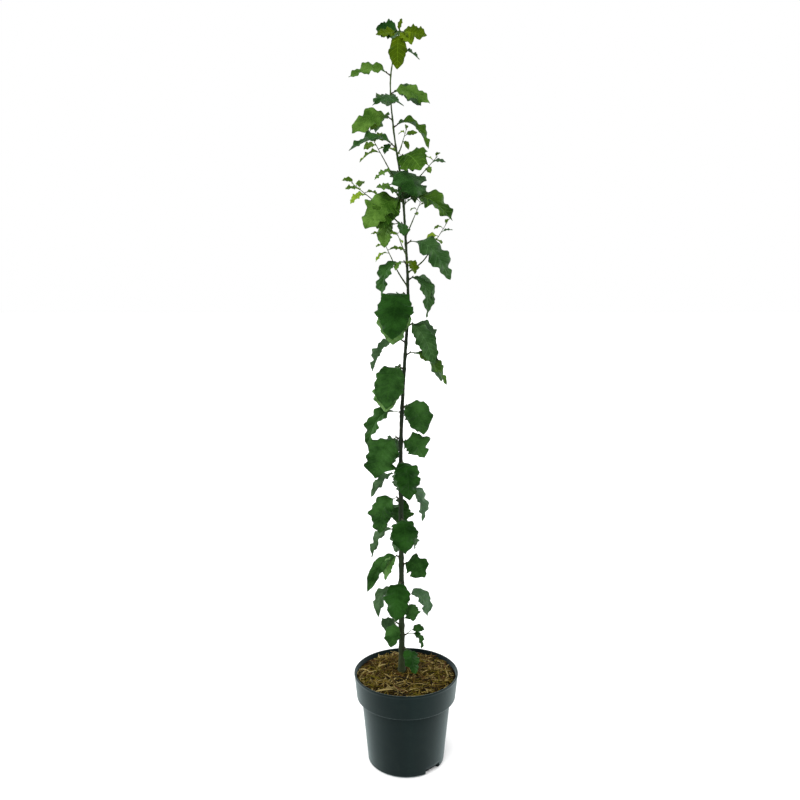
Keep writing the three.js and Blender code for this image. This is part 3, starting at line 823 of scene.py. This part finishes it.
def leafFinish(name, dark, light, roughness, netStrength):
    blade = Finish("leaf" + name.capitalize())
    cloud = blade.noise(26, 2)
    blotch = blade.noise(80, 3)
    mottle = blade.noise(420, 3)
    net = blade.cells(420)  # small veins
    # the leaf's own uneven colour, widened into painted shading: lighter patches are painted sheen, darker
    # patches painted shade in the folds
    tintAndPaintedShading = cloud * 0.6 + blotch * 0.22 + mottle * 0.18
    return blade.surface({
        "Base Color": blade.blend(blade.step(tintAndPaintedShading, 0.36, 0.64), dark, light),
        "Roughness": roughness + mottle * 0.16,
        "Specular IOR Level": 0.04,
        "Sheen Weight": 0.07, "Sheen Roughness": 0.35, "Sheen Tint": (0.75, 1.0, 0.85, 1.0),
        "Normal": blade.bump(blade.step(net, 0.0, 0.12) * 0.7 + mottle * 0.3, netStrength, 0.0006)})


leafMaterials = [
    leafFinish(name, *pair, roughness, netStrength)
    for tones, roughness, netStrength in ((shades, 0.4, 0.15), (underSides, 0.62, 0.3), (veins, 0.5, 0.1))
    for name, pair in tones.items()]


class Blade:  # one leaf on a grid of rows along it and columns across it
    def __init__(self, sizes, seed, letter):
        self.turn, self.stalk, self.length, self.width, self.rise, self.hang, self.roll, self.fold = sizes
        self.seed, self.letter = seed, letter
        self.small = self.length < leafSet["smallLength"]
        self.rows = leafSet["smallRows"] if self.small else leafSet["rows"]
        half = np.array(leafSet["smallColumns"] if self.small else leafSet["columns"])
        self.across = np.concatenate([-half[:0:-1], half])[None, :]
        self.away, self.side = np.abs(self.across), np.sign(self.across)
        self.row = np.arange(self.rows + 1)[:, None]
        start = self.row / self.rows
        self.share = start + leafSet["sweep"] * self.away * start * (1 - start)  # along the side veins
        self.swell = np.sin(np.pi * np.clip(self.share, 0, 1)) ** 0.5  # none at either end
        self.isVein = (self.row % leafSet["veinEvery"] == 0) & (self.away > 0)
        breadth = min(1.0, max(leafSet["leastCalm"], self.width / self.length / leafSet["calmBelow"]))
        self.calm = leafSet["smallCalm"] if self.small else breadth  # slender blades are smoother

    def wave(self, count, index, shift):  # along the margin, shifted between the two halves
        phase = chance(self.seed, index)
        return np.sin(2 * np.pi * (count * self.share + phase) + self.side * shift)

    def line(self):  # how far out and up the midrib has come, and its slope
        fine = np.linspace(0, 1, leafSet["lineSteps"] + 1)
        bent = 1 - (1 - fine) ** leafSet["bend"]
        slope = np.radians(self.rise - (self.rise + self.hang) * bent)
        middle = (slope[1:] + slope[:-1]) / 2
        step = self.length / leafSet["lineSteps"]
        out = np.concatenate([[0], np.cumsum(np.cos(middle))]) * step
        up = np.concatenate([[0], np.cumsum(np.sin(middle))]) * step
        return [np.interp(self.share, fine, values) for values in (out, up, slope)]

    def oval(self):  # half the width of a broad oval drawn out to a short point
        share = np.clip(self.share, 0, 1)
        point = np.clip((share - leafSet["pointStart"]) / (1 - leafSet["pointStart"]), 0, 1)
        plain = np.sin(np.pi * share ** leafSet["widest"]) ** leafSet["fullness"]
        return plain / 2 * (1 - leafSet["pointSlim"] * point ** leafSet["pointBend"])

    def reach(self):  # half the width with its lobes, scallops and teeth
        broadness = self.width / self.length - leafSet["lobesFrom"]
        depth = leafSet["leastLobes"] + leafSet["lobeGain"] * max(0.0, broadness)
        depth = leafSet["lobe"] * (leafSet["deepLobes"] if self.letter.isupper() else depth)
        lobe = sum(share * self.wave(*wave) for *wave, share in leafSet["lobeWaves"])
        lobe = lobe * depth * self.away ** leafSet["lobeEdge"] * np.sqrt(np.clip(self.share, 0, 1))
        every = leafSet["toothEvery"]
        tooth = leafSet["tooth"] * ((self.row % every) / (every - 1) - 0.5)
        scallop = leafSet["scallop"] * self.wave(*leafSet["scallopWave"])
        margin = self.away ** leafSet["toothEdge"] * self.swell * self.calm
        notch = lobe + (tooth + scallop * self.away) * margin
        return np.maximum(leafSet["rootWidth"], self.width * self.oval() * (1 + notch))

    def lift(self, reach):  # fold, ruffles, puckers and grooves
        broad = 2 * np.pi * leafSet["ruffleWaves"] * self.share + self.across * np.pi / 2 + self.seed
        broad = leafSet["ruffle"] * np.cos(broad)
        crimp = leafSet["fineRuffle"] * self.wave(*leafSet["fineWave"]) * self.calm
        ruffle = self.away ** leafSet["ruffleEdge"] * broad + self.away ** leafSet["fineEdge"] * crimp
        between = np.sin(np.pi * (self.row % leafSet["veinEvery"]) / leafSet["veinEvery"])
        pucker = leafSet["pucker"] * between * np.sin(np.pi * self.away ** leafSet["puckerPlace"])
        groove = leafSet["groove"] * (self.isVein * leafSet["veinGroove"] + (self.away == 0))
        folded = self.away * reach * np.sin(np.radians(self.fold))
        return folded + (ruffle + pucker - groove) * self.length * self.swell

    def thickness(self):
        rib = leafSet["ribDepth"] * np.exp(-(self.away / leafSet["ribWidth"]) ** 2)
        rib = rib * (1 - self.share * leafSet["ribFade"])
        rib = rib + self.isVein * leafSet["veinDepth"] * (1 - self.away)
        thick = mix(leafSet["edgeThick"], leafSet["thick"], 1 - self.away ** 2) + rib
        return thick * min(1.0, leafSet["leastThick"] + self.length / leafSet["fullThickLength"])

    def corners(self, root):  # of the upper and then of the under side
        out, up, slope = self.line()
        level = outward(self.turn, 0)
        tangent = outward(self.turn, np.degrees(slope))
        most = leafSet["foldedTwist"] if self.fold >= leafSet["foldedFrom"] else leafSet["twist"]
        twist = (chance(self.seed, leafSet["twistChance"]) - 0.5) * most
        spin = self.roll * np.minimum(1, self.share / leafSet["rollShare"])
        spin = np.radians(spin + twist * self.share ** leafSet["twistBend"])
        side = np.broadcast_to(np.cross(upward, level), tangent.shape)
        sideways = turnedAbout(side, tangent, spin)
        face = np.cross(tangent, sideways)
        foot = root + outward(self.turn, self.rise) * self.stalk
        spot = foot + level * out[..., None] + upward * up[..., None]
        reach = self.reach()
        flat = self.across * reach * np.cos(np.radians(self.fold))
        upper = spot + sideways * flat[..., None] + face * self.lift(reach)[..., None]
        lower = upper - face * self.thickness()[..., None]
        return np.concatenate([upper.reshape(-1, 3), lower.reshape(-1, 3)])

    def faces(self):  # upper side, under side, the two margins, foot and tip
        columns = self.across.size
        under = (self.rows + 1) * columns
        row, column = np.meshgrid(np.arange(self.rows), np.arange(columns - 1), indexing="ij")
        spot = row * columns + column
        top = np.stack([spot, spot + columns, spot + columns + 1, spot + 1], -1).reshape(-1, 4)
        bottom = top[:, [0, 3, 2, 1]] + under  # split along the same diagonals
        left = np.arange(self.rows) * columns
        right = left + columns - 1
        foot = np.arange(columns - 1)
        tip = foot + self.rows * columns
        return np.vstack([
            top, bottom,
            np.stack([left, left + under, left + under + columns, left + columns], -1),
            np.stack([right, right + columns, right + under + columns, right + under], -1),
            np.stack([foot, foot + 1, foot + 1 + under, foot + under], -1),
            np.stack([tip, tip + under, tip + under + 1, tip + 1], -1)])

    def kinds(self):  # the material of each face
        columns = self.across.size
        letter = self.letter.lower()
        shade = shadeLetters.index(letter)
        under = len(shades) + (self.letter in youngLetters)
        vein = len(shades) + len(underSides) + [letter in group for group in veinGroups].index(True)
        row, column = np.meshgrid(np.arange(self.rows), np.arange(columns - 1), indexing="ij")
        midrib = (column == columns // 2) | (column == columns // 2 - 1)
        sideVein = (row % leafSet["veinEvery"] == 0) & (row > 0) & (not self.small)
        return np.concatenate([
            np.where(midrib | sideVein, vein, shade).reshape(-1),
            np.where(midrib, vein, under).reshape(-1),
            np.full(2 * self.rows + 2 * (columns - 1), shade)])


stalkSet = dict(
    rings=7, sides=8, sunk=0.1, shortest=1, bow=0.05, underMost=5, underShare=0.07, drop=0.5,
    radius=0.85, leastSize=0.35, fullLength=80, swell=(1.25, 0.95), endSwell=0.7,
    tones=((36, 60, 17), (57, 83, 28), (64, 48, 27)))


def stalkShape(root, sizes):  # from the stem to a little way under the midrib
    turn, stalk, length, width, rise, hang, roll, fold = sizes
    stalk = max(stalk, stalkSet["shortest"])
    along = outward(turn, rise)
    shares = np.linspace(-stalkSet["sunk"], 1.0, stalkSet["rings"])
    line = root + np.outer(shares * stalk, along)
    line[:, 2] += np.sin(np.clip(shares, 0, 1) * np.pi) * stalk * stalkSet["bow"]
    reach = min(stalkSet["underMost"], length * stalkSet["underShare"])
    end = line[-1] + along * reach - upward * stalkSet["drop"]
    radius = stalkSet["radius"] * min(1.0, stalkSet["leastSize"] + length / stalkSet["fullLength"])
    swell = np.append(np.linspace(*stalkSet["swell"], stalkSet["rings"]), stalkSet["endSwell"])
    return tube(np.vstack([line, end]), swell * radius, stalkSet["sides"])


budSet = dict(rings=7, sides=8, foot=0.12, span=0.86, bluntness=0.8)


def budShape(root, along, length, radius):
    shares = np.linspace(0, 1, budSet["rings"])
    radii = radius * np.sin(np.pi * (budSet["foot"] + budSet["span"] * shares)) ** budSet["bluntness"]
    return tube(root + np.outer(shares * length, along), radii, budSet["sides"])


stalks = Heap()
woody = Heap()


def addLeaf(heap, root, sizes, seed, letter):
    blade = Blade(sizes, seed, letter)
    heap.add(blade.corners(root), blade.faces(), blade.kinds())
    stalks.add(*stalkShape(root, sizes))


spurSet = dict(
    reach=7, rise=30, foot=2.3, tip=1.5, sides=10, leastSize=0.5, fullTrunk=8,
    shares=(0, 0.35, 0.5, 0.62, 0.75, 0.88, 1.0), swells=(1.3, 1.15, 1.0, 1.12, 0.95, 1.15, 0.7),
    bud=(5.5, 1.5), budSunk=0.06, budLift=5,  # length and radius of the bud
    tones=((33, 30, 19), (50, 45, 29), (20, 17, 11)))


def spurTip(height, leaves):
    mean = sum(outward(turn, 0) for turn, *sizes in leaves)
    reach = trunkRadius(height) + spurSet["reach"]
    return trunkAt(height) + outward(turnOf(mean), spurSet["rise"]) * reach


def addSpur(height, tip):
    middle = trunkAt(height)
    shares = np.array(spurSet["shares"])
    size = min(1.0, spurSet["leastSize"] + trunkRadius(height) / spurSet["fullTrunk"])
    radii = np.array(spurSet["swells"]) * mix(spurSet["foot"], spurSet["tip"], shares) * size
    woody.add(*tube(middle + np.outer(shares, tip - middle), radii, spurSet["sides"]))
    budFoot = mix(tip, middle, spurSet["budSunk"])
    budAlong = unit(tip - middle + upward * spurSet["budLift"])
    woody.add(*budShape(budFoot, budAlong, *spurSet["bud"]))


def makeSpurLeaves():
    names = ("leavesLow", "leavesMiddle", "leavesHigh")
    heaps = [Heap() for name in names]
    groups = [[] for name in names]
    for i, (height, letters, leaves) in enumerate(spurs):
        part = len(names) * i // len(spurs)
        tip = spurTip(height, leaves)
        addSpur(height, tip)
        for n, (letter, sizes) in enumerate(zip(letters, leaves)):
            addLeaf(heaps[part], tip, sizes, i + n, letter)
        groups[part].append(f"leaves_{i + 1:02d}")
    for heap, name, nodes in zip(heaps, names, groups):
        addToFrame(heap.piece(name, leafMaterials), "leaf", *nodes)


tipSet = dict(rings=6, sides=10, sunk=0.6, radii=(1.15, 1.0), bud=(7.0, 1.5), budSunk=0.5)


def makeTipLeaves():  # the rosette on the tip of the trunk
    heap = Heap()
    along = unit(trunkLine[-1] - trunkLine[-2])
    foot = trunkLine[-1] + along * clearGap
    tip = foot + along * spurSet["reach"]
    shares = np.linspace(-tipSet["sunk"], 1.0, tipSet["rings"])
    radii = np.linspace(*tipSet["radii"], tipSet["rings"])
    stalks.add(*tube(foot + np.outer(shares, tip - foot), radii, tipSet["sides"]))
    stalks.add(*budShape(tip - along * tipSet["budSunk"], along, *tipSet["bud"]))
    for n, (letter, sizes) in enumerate(zip(rosetteShades, rosette)):
        addLeaf(heap, tip, sizes, len(spurs) + n, letter)
    addToFrame(heap.piece("leavesTip", leafMaterials), "young_leaf", "leaves_tip")


shootLeafSet = dict(  # a pair is a range
    rings=9, sides=8, sunk=0.02, bud=(4.0, 0.8), budSunk=0.5,
    start=0.6, firstTurn=50, divergence=144, stalk=5, slimness=0.44, shrink=0.4, lengths=(0.85, 1.15),
    rises=(10, 60), hangs=(20, 60), lessHang=40, rolls=(-50, 50), fold=14,
    youngShares=(0.6, 1.0), youngChance=60)


def touchesTrunk(points):
    gap = np.hypot(*(points - trunkAt(points[:, 2]))[:, :2].T) - trunkRadius(points[:, 2])
    return bool(np.any((gap < clearGap) & (points[:, 2] < trunkTip)))


def shootLeaf(seed, i, count, largest, heading):  # sizes and shade of one small leaf
    rule = shootLeafSet
    share = (i + rule["start"]) / count
    turn = heading + rule["firstTurn"] + rule["divergence"] * i
    size = largest * (1 - rule["shrink"] * share) * mix(*rule["lengths"], chance(seed, i))
    hang = mix(*rule["hangs"], chance(seed, i + count)) - rule["lessHang"] * share
    roll = mix(*rule["rolls"], chance(seed, i + 2 * count))
    rise = mix(*rule["rises"], share)
    young = chance(seed, i + rule["youngChance"]) < mix(*rule["youngShares"], share)
    sizes = (turn, rule["stalk"], size, size * rule["slimness"], rise, hang, roll, rule["fold"])
    return share, sizes, "y" if young else "c"


def makeShootLeaves():
    heap = Heap()
    for seed, (*limb, endLength, count, largest) in enumerate(shoots.values()):
        line = shootLine(*limb)
        along = unit(line[-1] - line[-2])
        foot = line[-1] + along * clearGap
        tip = foot + along * endLength
        shares = np.linspace(-shootLeafSet["sunk"], 1, shootLeafSet["rings"])
        radii = mix(shootSet["tipRadius"], shootSet["endRadius"], shares)
        stalks.add(*tube(foot + np.outer(shares, tip - foot), radii, shootLeafSet["sides"]))
        stalks.add(*budShape(tip - along * shootLeafSet["budSunk"], along, *shootLeafSet["bud"]))
        for i in range(count):
            share, sizes, letter = shootLeaf(seed, i, count, largest, turnOf(along))
            root = mix(foot, tip, share)
            if not touchesTrunk(Blade(sizes, seed + i, letter).corners(root)):
                addLeaf(heap, root, sizes, seed + i, letter)
    nodes = [name + "_leaves" for name in shoots]
    addToFrame(heap.piece("shootLeaves", leafMaterials), "young_leaf", *nodes)


makeSpurLeaves()
makeTipLeaves()
makeShootLeaves()
addToFrame(stalks.piece("leafStalks", [twigFinish("stalkGreen", *stalkSet["tones"])]), "shoot")
addToFrame(woody.piece("leafSpurs", [twigFinish("spurBark", *spurSet["tones"])]), "bark")
